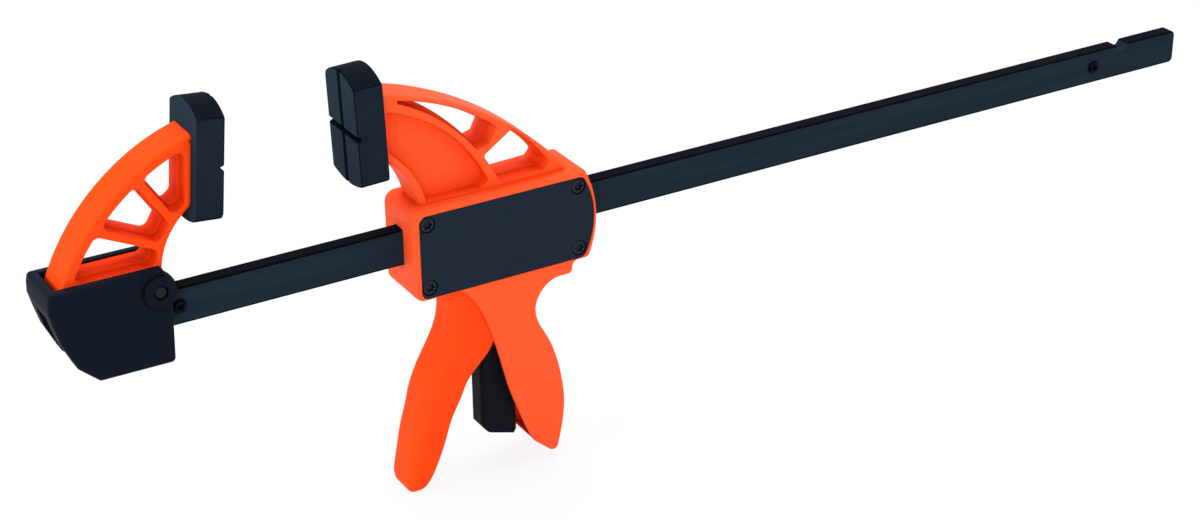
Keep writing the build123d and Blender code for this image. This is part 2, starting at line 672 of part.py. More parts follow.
with BuildPart() as housing:
    with BuildSketch(Plane.XZ):
        add(body_outline.sketch)
    extrude(amount=BODY_WIDTH / 2, both=True)
    fillet(housing.faces().filter_by(Axis.Y).edges(), BODY_EDGE)
    add(jaw_web.part)
    with BuildSketch(Plane.XZ):
        add(crescent_window.sketch)
        add(corner_window.sketch)
        offset(amount=-JAW_BEAD)
    extrude(amount=JAW_THICK, both=True, mode=Mode.SUBTRACT)
    for side in (1, -1):
        with BuildSketch(Plane.XZ.offset(side * JAW_BEAD_WIDTH / 2)):
            add(crescent_window.sketch)
            add(corner_window.sketch)
        extrude(amount=side * JAW_THICK, mode=Mode.SUBTRACT)
        with BuildSketch(Plane.XZ.offset(side * (JAW_THICK / 2 - POCKET_DEPTH))):
            add(side_pocket.sketch)
        extrude(amount=side * POCKET_DEPTH, mode=Mode.SUBTRACT)
    with BuildSketch(Plane.XZ.offset(RECESS_FLOOR)):
        add(cover_outline.sketch)
        offset(amount=COVER_GAP)
    extrude(amount=COVER_RECESS, mode=Mode.SUBTRACT)
    with BuildSketch(Plane.XZ.offset(RECESS_FLOOR)):
        with Locations(*screw_places):
            Circle(SCREW_SHANK_D / 2 + PIN_FIT)
    extrude(amount=-SCREW_LENGTH, mode=Mode.SUBTRACT)
    with BuildSketch(Plane.XZ):
        add(cavity_outline.sketch)
    extrude(amount=CAVITY_WIDTH / 2, both=True, mode=Mode.SUBTRACT)
    with BuildSketch(Plane.XZ):
        Polygon(
            *outline(on_housing, (CAVITY_LEFT, HATCH_FOOT), (CAVITY_RIGHT, HATCH_FOOT)),
            *outline(on_housing, (CAVITY_RIGHT, HATCH_TOP), (CAVITY_LEFT, HATCH_TOP)),
            align=None,
        )
    extrude(amount=BODY_WIDTH / 2, mode=Mode.SUBTRACT)
    with BuildSketch(Plane.XZ):
        with Locations(on_housing(SPRING_WALL_U + SPRING_WALL / 2, SPRING_WALL_FOOT)):
            Rectangle(SPRING_WALL, CAVITY_TOP - SPRING_WALL_FOOT + 1, align=(Align.CENTER, Align.MIN))
        lip_left = BRAKE_PIVOT_U - PLATE_THICK / 2 - LIP_GAP
        lip_right = BRAKE_PIVOT_U + PLATE_THICK / 2 + LIP_GAP
        for lip_middle in (lip_left - LIP_WIDTH / 2, lip_right + LIP_WIDTH / 2):
            with Locations(on_housing(lip_middle, CAVITY_TOP - LIP_DEPTH)):
                Rectangle(LIP_WIDTH, LIP_DEPTH + 1, align=(Align.CENTER, Align.MIN))
    extrude(amount=CAVITY_WIDTH / 2 + 0.5, both=True)
    with BuildSketch(Plane.YZ.offset(HOUSING_X)):
        with Locations((0, BAR_AXIS)):
            Rectangle(BAR_SLOT_THICK, BAR_SLOT_HEIGHT)
    extrude(amount=BODY_BULGE + 10, mode=Mode.SUBTRACT)
    with BuildSketch(Plane.XZ.offset(BODY_WIDTH / 2)):
        with Locations(trigger_pin_place, release_pin_place):
            Circle(LINK_PIN_D / 2 + PIN_FIT)
    extrude(amount=-(BODY_WIDTH / 2 + PIN_SEAT), mode=Mode.SUBTRACT)
    with BuildSketch(MOVING_FACE.offset(-PAD_THICK)):
        Rectangle(TONGUE_WIDTH, TONGUE_HEIGHT)
    extrude(amount=TONGUE_DEPTH)
save(housing.part, "housing")

# -------------------------------------------------- cover, screws, pins -----
with BuildPart() as cover:
    with BuildSketch(Plane.XZ.offset(RECESS_FLOOR)):
        add(cover_outline.sketch)
        with Locations(*screw_places):
            Circle(SCREW_SHANK_D / 2 + PIN_FIT, mode=Mode.SUBTRACT)
    extrude(amount=COVER_THICK)
    with BuildSketch(Plane.XZ.offset(COVER_FACE)):
        with Locations(*screw_places):
            Circle(SCREW_SINK_D / 2)
    extrude(amount=-SCREW_HEAD, mode=Mode.SUBTRACT)
save(cover.part, "front_cover")

with BuildPart() as screws:
    with BuildSketch(Plane.XZ.offset(COVER_FACE - SCREW_HEAD)):
        with Locations(*screw_places):
            Circle(SCREW_HEAD_D / 2)
    extrude(amount=SCREW_HEAD)
    with BuildSketch(Plane.XZ.offset(COVER_FACE - SCREW_HEAD)):
        with Locations(*screw_places):
            Circle(SCREW_SHANK_D / 2)
    extrude(amount=-(SCREW_LENGTH - PIN_FIT))
    with BuildSketch(Plane.XZ.offset(COVER_FACE)):
        with Locations(*screw_places):
            RegularPolygon(SCREW_SOCKET, 6)
    extrude(amount=-SCREW_SOCKET_DEPTH, mode=Mode.SUBTRACT)
save(screws.part, "front_cover_screws")

for pin_name, pin_place in (("trigger_pin", trigger_pin_place), ("release_pin", release_pin_place)):
    with BuildPart() as link_pin:
        with BuildSketch(Plane.XZ.offset(RECESS_FLOOR - PIN_FIT)):
            with Locations(pin_place):
                Circle(LINK_PIN_D / 2)
        extrude(amount=-(RECESS_FLOOR + PIN_SEAT - 2 * PIN_FIT))
    save(link_pin.part, pin_name)

# ------------------------------------------------------ trigger and lever ---
def grip_section(w, front, back, half_width, corner):
    """Level section of the trigger at height w, with its two front corners rounded."""
    left = HOUSING_X + front
    with BuildSketch(Plane.XY.offset(BAR_AXIS + w)) as section:
        with BuildLine():
            Line((left, half_width - corner), (left, corner - half_width))
            RadiusArc((left, corner - half_width), (left + corner, -half_width), -corner)
            Polyline(
                (left + corner, -half_width),
                (HOUSING_X + back, -half_width),
                (HOUSING_X + back, half_width),
                (left + corner, half_width),
            )
            RadiusArc((left + corner, half_width), (left, half_width - corner), -corner)
        make_face()
    return section.sketch.face()


trigger_half = TRIGGER_WIDTH / 2
grip_sections = [
    grip_section(-14.0, 16.4, 21.8, trigger_half, TRIGGER_ROUND - 1.2),
    grip_section(-20.0, 16.5, 24.2, trigger_half, TRIGGER_ROUND - 0.2),
    grip_section(-28.0, 16.7, 28.8, trigger_half, TRIGGER_ROUND),
    grip_section(-36.0, 16.1, 33.0, trigger_half, TRIGGER_ROUND),
    grip_section(-44.5, 13.0, 34.0, trigger_half, TRIGGER_ROUND),
    grip_section(-54.4, 7.4, 27.0, trigger_half, TRIGGER_ROUND),
    grip_section(-66.3, 2.4, 18.7, trigger_half, TRIGGER_ROUND),
    grip_section(-78.0, -0.8, 12.9, trigger_half, TRIGGER_ROUND),
    grip_section(-89.0, -3.1, 9.0, trigger_half, TRIGGER_ROUND - 0.4),
    grip_section(-96.5, -4.3, 5.6, trigger_half - 0.2, TRIGGER_ROUND - 1.4),
    grip_section(-101.5, -4.6, 3.0, trigger_half - 1.1, TRIGGER_ROUND - 2.6),
    grip_section(-104.2, -3.7, 0.9, trigger_half - 2.7, TRIGGER_ROUND - 4.0),
    grip_section(-BAR_AXIS, -2.4, -0.6, trigger_half - 4.3, TRIGGER_ROUND - 5.2),
]

with BuildSketch() as trigger_hollow:
    with BuildLine():
        Spline(
            *outline(on_housing, (16.4, TRIGGER_TOP), (16.6, -34.0), (13.4, -43.8), (7.4, -54.4)),
            *outline(on_housing, (2.4, -66.3), (-0.8, -78.0), (-4.3, TRIGGER_HOLLOW_FOOT)),
        )
        Polyline(
            *outline(on_housing, (-4.3, TRIGGER_HOLLOW_FOOT), (40, TRIGGER_HOLLOW_FOOT)),
            *outline(on_housing, (40, TRIGGER_TOP), (16.4, TRIGGER_TOP)),
        )
    make_face()

with BuildSketch() as trigger_arm:
    with Locations(trigger_pin_place):
        Circle(LINK_EYE)
    with Locations(on_housing(NOSE_U, NOSE_DROP)):
        Circle(NOSE_RADIUS)
    Polygon(
        *outline(on_housing, (TRIGGER_PIN_U - LINK_EYE, LINK_PIN_RISE), (16.4, -10.0), (16.4, -20.0)),
        *outline(on_housing, (21.8, -20.0), (NOSE_U + 1.5, NOSE_DROP)),
        on_housing(TRIGGER_PIN_U + LINK_EYE, LINK_PIN_RISE),
        align=None,
    )

with BuildPart() as trigger:
    loft(grip_sections)
    with BuildSketch(Plane.XZ):
        add(trigger_arm.sketch)
    extrude(amount=TRIGGER_WIDTH / 2, both=True)
    with BuildSketch(Plane.XZ):
        with Locations((TRIGGER_FRONT, 0)):
            add(trigger_hollow.sketch)
        with Locations(on_housing(TRIGGER_PIN_U, TRIGGER_TOP)):
            Rectangle(30, 40, align=(Align.CENTER, Align.MIN))
    extrude(amount=TRIGGER_WIDTH / 2 - TRIGGER_WALL, both=True, mode=Mode.SUBTRACT)
    with BuildSketch(Plane.XZ):
        with Locations(trigger_pin_place):
            Circle(LINK_PIN_D / 2 + PIN_FIT)
    extrude(amount=TRIGGER_WIDTH, both=True, mode=Mode.SUBTRACT)
save(trigger.part, "trigger")

brake_tangent = tan(radians(BRAKE_LEAN))
release_nose_u = (
    BRAKE_PIVOT_U
    - (PLATE_THICK / 2 + NOSE_GAP + RELEASE_NOSE_RADIUS) / cos(radians(BRAKE_LEAN))
    - (BRAKE_PIVOT_RISE - RELEASE_NOSE_DROP) * brake_tangent
)

with BuildSketch() as lever_outline:
    with Locations(release_pin_place):
        Circle(LINK_EYE)
    with Locations(on_housing(release_nose_u, RELEASE_NOSE_DROP)):
        Circle(RELEASE_NOSE_RADIUS)
    Polygon(
        *outline(on_housing, (RELEASE_PIN_U - LINK_EYE, LINK_PIN_RISE), (43.7, -13.0), (41.5, -20.0)),
        *outline(on_housing, (35.5, -30.0), (31.5, -43.0), (RELEASE_FRONT, -50.0)),
        *outline(on_housing, (RELEASE_FRONT, -87.8), (42.9, -91.8), (44.0, -90.0), (44.0, -84.0)),
        *outline(on_housing, (42.5, -50.0), (43.5, -36.0), (49.6, -22.0)),
        *outline(on_housing, (release_nose_u + 0.6, RELEASE_NOSE_DROP - 1.3)),
        *outline(on_housing, (release_nose_u + 0.2, RELEASE_NOSE_DROP + 1.4)),
        on_housing(RELEASE_PIN_U + LINK_EYE, LINK_PIN_RISE),
        align=None,
    )
    foot_corner = on_housing(RELEASE_FRONT, -87.8)
    fillet(lever_outline.vertices().sort_by_distance((*foot_corner, 0))[0], RELEASE_FOOT_ROUND)

with BuildPart() as release_lever:
    with BuildSketch(Plane.XZ):
        add(lever_outline.sketch)
    extrude(amount=RELEASE_WIDTH / 2, both=True)
    with BuildSketch(Plane.XY.offset(RELEASE_FOOT)):
        with Locations((HOUSING_X + RELEASE_FRONT, 0)):
            Rectangle(2 * RELEASE_ROUND, RELEASE_WIDTH)
            RectangleRounded(
                4 * RELEASE_ROUND,
                RELEASE_WIDTH,
                RELEASE_ROUND,
                align=(Align.MIN, Align.CENTER),
                mode=Mode.SUBTRACT,
            )
    extrude(amount=RELEASE_ROUND_LENGTH, mode=Mode.SUBTRACT)
    with BuildSketch(Plane.XZ):
        with Locations(on_housing(RELEASE_PIN_U, RELEASE_TOP)):
            Rectangle(40, 40, align=(Align.CENTER, Align.MIN))
    extrude(amount=BAR_THICK / 2 + RELEASE_FORK, both=True, mode=Mode.SUBTRACT)
    with BuildSketch(Plane.XZ):
        with Locations(release_pin_place):
            Circle(LINK_PIN_D / 2 + PIN_FIT)
    extrude(amount=RELEASE_WIDTH, both=True, mode=Mode.SUBTRACT)
save(release_lever.part, "release_lever")

# ------------------------------------------------ grip plates and springs ---
first_plate = HOUSING_X + DRIVE_PLATE_U
for plate_name, start in (
    ("drive_plate_front", first_plate),
    ("drive_plate_back", first_plate + PLATE_THICK + PLATE_GAP),
):
    with BuildPart() as drive_plate:
        with BuildSketch(Plane.YZ.offset(start)):
            with Locations((0, BAR_AXIS + (DRIVE_PLATE_TOP + DRIVE_PLATE_FOOT) / 2)):
                RectangleRounded(PLATE_WIDTH, DRIVE_PLATE_TOP - DRIVE_PLATE_FOOT, PLATE_ROUND)
            with Locations((0, BAR_AXIS)):
                Rectangle(BAR_SLOT_THICK, BAR_SLOT_HEIGHT, mode=Mode.SUBTRACT)
        extrude(amount=PLATE_THICK)
    save(drive_plate.part, plate_name)

with BuildPart() as brake_plate:
    with BuildSketch(BRAKE_PLANE):
        plate_top = BRAKE_PLATE_TOP - BRAKE_PIVOT_RISE
        plate_foot = BRAKE_PLATE_FOOT - BRAKE_PIVOT_RISE
        with Locations((0, (plate_top + plate_foot) / 2)):
            RectangleRounded(PLATE_WIDTH, plate_top - plate_foot, PLATE_ROUND)
        with Locations((0, -BRAKE_PIVOT_RISE)):
            Rectangle(BAR_SLOT_THICK, BAR_HEIGHT + BRAKE_SLOT_EXTRA, mode=Mode.SUBTRACT)
    extrude(amount=PLATE_THICK / 2, both=True)
save(brake_plate.part, "brake_plate")

springs = (
    ("drive_spring", DRIVE_PLATES_END, SPRING_WALL_U, DRIVE_TURNS),
    ("brake_spring", BRAKE_PIVOT_U + PLATE_THICK / 2, CAVITY_RIGHT, BRAKE_TURNS),
)
for spring_name, left, right, turns in springs:
    end_room = SPRING_END_GAP + WIRE_D / 2
    coil_length = right - left - 2 * end_room
    coil_start = (HOUSING_X + left + end_room, 0, BAR_AXIS)
    with BuildPart() as spring:
        with BuildLine() as coil:
            Helix(coil_length / turns, coil_length, SPRING_RADIUS, coil_start, (1, 0, 0))
        with BuildSketch(Plane(origin=coil.line @ 0, z_dir=coil.line % 0)):
            RegularPolygon(WIRE_D / 2, WIRE_SIDES)
        sweep(path=coil.line, is_frenet=True)
    save(spring.part, spring_name)
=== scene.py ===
"""A one-handed bar clamp with a quick release: its finishes, small pieces, light and camera."""

from __future__ import annotations

import json
import logging
from collections.abc import Callable
from dataclasses import dataclass
from enum import Enum
from math import atan2, cos, radians, sin
from typing import Any

import bmesh
import bpy
from mathutils import Matrix, Vector

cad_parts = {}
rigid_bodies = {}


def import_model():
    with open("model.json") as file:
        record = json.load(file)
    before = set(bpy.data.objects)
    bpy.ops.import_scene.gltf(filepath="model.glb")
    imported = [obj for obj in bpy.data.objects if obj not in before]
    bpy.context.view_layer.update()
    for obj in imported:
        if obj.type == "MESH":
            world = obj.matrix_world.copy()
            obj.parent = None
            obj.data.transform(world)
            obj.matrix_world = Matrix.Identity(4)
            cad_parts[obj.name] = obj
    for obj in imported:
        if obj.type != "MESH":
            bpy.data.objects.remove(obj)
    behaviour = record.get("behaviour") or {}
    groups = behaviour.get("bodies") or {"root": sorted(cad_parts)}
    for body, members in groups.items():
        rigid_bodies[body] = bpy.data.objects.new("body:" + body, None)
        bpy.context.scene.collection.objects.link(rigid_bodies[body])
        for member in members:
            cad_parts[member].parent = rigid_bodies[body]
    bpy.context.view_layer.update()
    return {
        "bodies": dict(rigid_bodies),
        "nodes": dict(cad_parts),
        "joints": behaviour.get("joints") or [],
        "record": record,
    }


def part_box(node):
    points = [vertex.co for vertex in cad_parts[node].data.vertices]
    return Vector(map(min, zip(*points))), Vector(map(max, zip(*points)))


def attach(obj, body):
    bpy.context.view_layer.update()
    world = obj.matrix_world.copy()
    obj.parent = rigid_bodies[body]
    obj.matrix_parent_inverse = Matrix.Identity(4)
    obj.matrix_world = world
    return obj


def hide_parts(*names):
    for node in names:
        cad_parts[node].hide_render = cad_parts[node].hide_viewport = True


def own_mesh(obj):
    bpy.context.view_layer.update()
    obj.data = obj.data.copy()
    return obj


Colour = tuple[float, float, float]
Triple = tuple[float, float, float]
Pair = tuple[float, float]

LOG = logging.getLogger("bar_clamp")
MM = 0.001
PER_MM = 1000.0
WELD = 1e-6
HAIR_MM = 0.001
FLAT_WITHIN = radians(0.6)
SHARP_FROM = radians(28.0)
SMOOTH_BELOW = radians(32.0)
WHITE = (1.0, 1.0, 1.0, 1.0)


class Facing(Enum):
    """The ways in which a finish tells a piece's sides apart; the value is the axis."""

    ENDWAYS = 0
    UPWARD = 2


@dataclass(frozen=True)
class Noise:
    """A noise: its cycles in a metre, its octaves and the strength of the finer ones."""

    scale: float
    detail: float = 2.0
    rough: float = 0.5


@dataclass(frozen=True)
class Recess:
    """How far off a wall still makes a spot a recess, and how soon the recess counts in full."""

    reach_mm: float
    gain: float


@dataclass(frozen=True)
class Wire:
    """An output socket of a shader tree that takes part in Python arithmetic."""

    bench: ShaderBench
    socket: bpy.types.NodeSocket

    def _math(self, operation: str, *values: Wire | float) -> Wire:
        """Adds one Math node and returns its result."""
        return self.bench.add("ShaderNodeMath", {"operation": operation}, dict(enumerate(values)))

    def __add__(self, other: Wire | float) -> Wire:
        """Sum of two values."""
        return self._math("ADD", self, other)

    def __radd__(self, other: float) -> Wire:
        """Sum with the number first."""
        return self._math("ADD", other, self)

    def __sub__(self, other: Wire | float) -> Wire:
        """Difference of two values."""
        return self._math("SUBTRACT", self, other)

    def __rsub__(self, other: float) -> Wire:
        """Difference with the number first."""
        return self._math("SUBTRACT", other, self)

    def __mul__(self, other: Wire | float) -> Wire:
        """Product of two values."""
        return self._math("MULTIPLY", self, other)

    def __rmul__(self, other: float) -> Wire:
        """Product with the number first."""
        return self._math("MULTIPLY", other, self)

    def size(self) -> Wire:
        """The value without its sign."""
        return self._math("ABSOLUTE", self)

    def larger(self, other: Wire | float) -> Wire:
        """The larger of two values."""
        return self._math("MAXIMUM", self, other)

    def clipped(self) -> Wire:
        """The value held between 0 and 1."""
        return self._math("MAXIMUM", self._math("MINIMUM", self, 1.0), 0.0)

    def centred(self) -> Wire:
        """A noise counted from its middle, one half."""
        return self - 0.5

    def rising(self, band: Pair) -> Wire:
        """0 below a band, 1 above it and even in between."""
        return self.bench.ramp(self, [(band[0], 0.0), (band[1], 1.0)])

    def falling(self, band: Pair) -> Wire:
        """1 below a band, 0 above it and even in between."""
        return self.bench.ramp(self, [(band[0], 1.0), (band[1], 0.0)])


class ShaderBench:
    """The workbench on which one shader tree is laid out."""

    def __init__(
        self,
        owner: bpy.types.Material | bpy.types.World,
        output: str = "ShaderNodeOutputMaterial",
    ) -> None:
        """Clears the owner's tree and adds its output.

        Args:
            owner: The material or world to be filled.
            output: The type name of its output node.
        """
        owner.use_nodes = True
        self.tree = owner.node_tree
        self.tree.nodes.clear()
        self.output = self.tree.nodes.new(output)

    def node(self, kind: str, settings: dict[str, Any], inputs: dict[Any, Any]) -> bpy.types.Node:
        """Adds a node, first its settings and then its sockets.

        Args:
            kind: The node's type name.
            settings: Properties of the node; stops is a colour ramp's list.
            inputs: Values or wires by socket name or number.

        Returns:
            The new node.
        """
        made = self.tree.nodes.new(kind)
        for key, value in settings.items():
            if key == "stops":
                self._fill_ramp(made.color_ramp, value)
            else:
                setattr(made, key, value)
        for key, value in inputs.items():
            if isinstance(value, Wire):
                self.tree.links.new(value.socket, made.inputs[key])
            else:
                made.inputs[key].default_value = value
        return made

    def add(
        self, kind: str, settings: dict[str, Any], inputs: dict[Any, Any], output: Any = 0
    ) -> Wire:
        """Adds a node and returns one of its outputs as a wire."""
        return Wire(self, self.node(kind, settings, inputs).outputs[output])

    @staticmethod
    def _fill_ramp(ramp: bpy.types.ColorRamp, stops: list[Pair]) -> None:
        """Sets a grey ramp's stops.

        Args:
            ramp: The ramp.
            stops: Each stop's position and level.
        """
        while len(ramp.elements) < len(stops):
            ramp.elements.new(0.5)
        for element, (position, level) in zip(ramp.elements, stops):
            element.position = position
            element.color = (level, level, level, 1.0)

    def place(self) -> Wire:
        """Coordinates on the piece, in metres."""
        return self.add("ShaderNodeTexCoord", {}, {}, "Object")

    def stretched(self, scale: Triple) -> Wire:
        """Coordinates on the piece, scaled along each axis."""
        return self.add("ShaderNodeMapping", {}, {"Vector": self.place(), "Scale": scale})

    def grain(self, vector: Wire, noise: Noise) -> Wire:
        """Noise between 0 and 1, read at a vector."""
        return self.add(
            "ShaderNodeTexNoise",
            {},
            {
                "Vector": vector,
                "Scale": noise.scale,
                "Detail": noise.detail,
                "Roughness": noise.rough,
            },
            "Fac",
        )

    def ramp(self, value: Wire, stops: list[Pair]) -> Wire:
        """Grey ramp over a value."""
        return self.add("ShaderNodeValToRGB", {"stops": stops}, {"Fac": value})

    def blend(self, amount: Wire | float, first: Wire | Colour, second: Wire | Colour) -> Wire:
        """Colour between two colours.

        Args:
            amount: 0 for the first and 1 for the second.
            first: A colour, or a wire that carries one.
            second: The other colour.

        Returns:
            The mixed colour.
        """
        node = self.node("ShaderNodeMix", {"data_type": "RGBA"}, {"Factor": amount})
        for socket, value in ((node.inputs[6], first), (node.inputs[7], second)):
            if isinstance(value, Wire):
                self.tree.links.new(value.socket, socket)
            else:
                socket.default_value = (*value, 1.0)
        return Wire(self, node.outputs[2])

    def eased(self, radius_mm: float) -> Wire:
        """Normal that turns softly over every edge."""
        return self.add("ShaderNodeBevel", {"samples": 6}, {"Radius": radius_mm * MM}, "Normal")

    def own_normal(self) -> Wire:
        """The surface's own normal."""
        return self.add("ShaderNodeNewGeometry", {}, {}, "Normal")

    def edge_share(self, eased: Wire, gain: float) -> Wire:
        """How much an eased normal leaves the surface's own.

        Args:
            eased: The eased normal.
            gain: How soon the edge counts in full.

        Returns:
            0 on a flat side and up to 1 at an edge.
        """
        agreement = self.add(
            "ShaderNodeVectorMath",
            {"operation": "DOT_PRODUCT"},
            {0: eased, 1: self.own_normal()},
            "Value",
        )
        return ((1.0 - agreement) * gain).clipped()

    def hollow(self, recess: Recess) -> Wire:
        """How deep a spot lies in a recess of its own piece.

        Args:
            recess: The recess's reach and gain.

        Returns:
            0 in the open and up to 1 in the recess.
        """
        open_share = self.add(
            "ShaderNodeAmbientOcclusion",
            {"samples": 8, "only_local": True},
            {"Distance": recess.reach_mm * MM},
            "AO",
        )
        return ((1.0 - open_share) * recess.gain).clipped()

    def rounding(self, band: Pair) -> Wire:
        """The rounded edges of a square block.

        Args:
            band: The normal's largest part, from where it is rounded to where it is flat.

        Returns:
            1 on the rounded edges and 0 on the flat sides.
        """
        x, y, z = self.parts(self.own_normal())
        return x.size().larger(y.size()).larger(z.size()).falling(band)

    def facing(self, way: Facing, band: Pair) -> Wire:
        """The sides that face one way, or for ENDWAYS either way along X.

        Args:
            way: The way.
            band: The normal's part along it, from where it doesn't count to where it does.

        Returns:
            1 on those sides and 0 elsewhere.
        """
        along = self.parts(self.own_normal())[way.value]
        if way is Facing.ENDWAYS:
            along = along.size()
        return along.rising(band)

    def bump(
        self, height: Wire, depth_mm: float, strength: float, over: Wire | None = None
    ) -> Wire:
        """Normal that follows a height.

        Args:
            height: The height, from 0 to 1.
            depth_mm: What a height of 1 stands for.
            strength: How much of it shows.
            over: The normal under it, if it isn't the surface's own.

        Returns:
            The bumped normal.
        """
        inputs = {"Height": height, "Distance": depth_mm * MM, "Strength": strength}
        if over is not None:
            inputs["Normal"] = over
        return self.add("ShaderNodeBump", {}, inputs)

    def parts(self, vector: Wire) -> tuple[Wire, Wire, Wire]:
        """A vector's three numbers."""
        split = self.node("ShaderNodeSeparateXYZ", {}, {"Vector": vector})
        return tuple(Wire(self, split.outputs[axis]) for axis in range(3))

    def backdrop_share(self) -> Wire:
        """Tells what the camera sees from what lights the clamp.

        Returns:
            1 for rays from the camera, off gloss and through glass, and 0 for all others.
        """
        rays = self.node("ShaderNodeLightPath", {}, {})
        seen = Wire(self, rays.outputs["Is Camera Ray"])
        mirrored = Wire(self, rays.outputs["Is Glossy Ray"])
        passed = Wire(self, rays.outputs["Is Transmission Ray"])
        return (seen + mirrored + passed).clipped()

    def end_in(self, shader: Wire) -> None:
        """Joins the last shader to the output."""
        self.tree.links.new(shader.socket, self.output.inputs["Surface"])

    def surface(self, **sockets: Any) -> None:
        """Ends the tree in one Principled shader; names use _ for a space."""
        named = {key.replace("_", " "): value for key, value in sockets.items()}
        self.end_in(self.add("ShaderNodeBsdfPrincipled", {}, named))


@dataclass(frozen=True)
class Finish:
    """A finish of the clamp and the record's slot that it belongs to."""

    name: str
    slot: str

    def lay(self, bench: ShaderBench) -> None:
        """Lays out the finish's nodes on a bench."""
        raise NotImplementedError

    def material(self) -> bpy.types.Material:
        """Finds the finish's material, or makes it on its first use.

        Returns:
            The material.
        """
        ready = bpy.data.materials.get(self.name)
        if ready is None:
            ready = bpy.data.materials.new(self.name)
            self.lay(ShaderBench(ready))
        return ready

    def dress(self, piece: bpy.types.Object) -> None:
        """Gives a piece this one finish."""
        piece.data.materials.clear()
        piece.data.materials.append(self.material())


@dataclass(frozen=True)
class MouldedPlastic(Finish):
    """Glass-filled plastic out of a spark-eroded mould."""

    colour: Colour
    shade: Colour
    # Painted edge reflection: lighter on orange and lever edges, a darker line on shoe and cover
    # edges.
    edge: Colour
    # Painted shade colour for recesses and inner corners.
    deep: Colour
    edge_radius_mm: float = 1.1
    edge_share: float = 0.5
    edge_gain: float = 5.0
    edge_polish: float = 0.08
    roughness: float = 0.5
    specular: float = 0.18
    flow: Noise = Noise(26.0, 3.0, 0.6)
    flow_band: Pair = (0.35, 0.7)
    flow_share: float = 0.6
    flow_roughness: float = 0.05
    pits: Noise = Noise(2600.0, 2.0, 0.7)
    pit_roughness: float = 0.16
    pit_depth_mm: float = 0.05
    pit_strength: float = 0.6
    seam_band_mm: Pair = (0.04, 0.14)
    seam_height: float = 1.5
    # Reaches of the painted shade: broad recesses and tight inner corners.
    pocket: Recess = Recess(9.0, 1.35)
    corner: Recess = Recess(2.2, 2.0)

    def lay(self, bench: ShaderBench) -> None:
        """Broad flow marks, a fine even grain, a parting line, glossier edges with a painted edge
        reflection, and painted shade in recesses.

        Args:
            bench: The bench to lay them out on.
        """
        spot = bench.place()
        flow = bench.grain(spot, self.flow).rising(self.flow_band)
        pits = bench.grain(spot, self.pits)
        _, across, _ = bench.parts(spot)
        seam = (across.size() * PER_MM).falling(self.seam_band_mm)
        eased = bench.eased(self.edge_radius_mm)
        # Painted edge reflection: the edge mask blends in the edge colour, and it also makes the
        # edges glossier.
        wear_and_edge_reflection = bench.edge_share(eased, self.edge_gain)
        body = bench.blend(flow * self.flow_share, self.colour, self.shade)
        wear_and_reflection_tone = bench.blend(wear_and_edge_reflection * self.edge_share, body, self.edge)
        # Painted shade: darker colour in the piece's own recesses and inner corners.
        recess = bench.hollow(self.pocket).larger(bench.hollow(self.corner))
        uneven = pits.centred() * self.pit_roughness + flow.centred() * self.flow_roughness
        bench.surface(
            Base_Color=bench.blend(recess, wear_and_reflection_tone, self.deep),
            Roughness=self.roughness + uneven - wear_and_edge_reflection * self.edge_polish,
            Specular_IOR_Level=self.specular,
            Normal=bench.bump(
                pits + seam * self.seam_height, self.pit_depth_mm, self.pit_strength, eased
            ),
        )


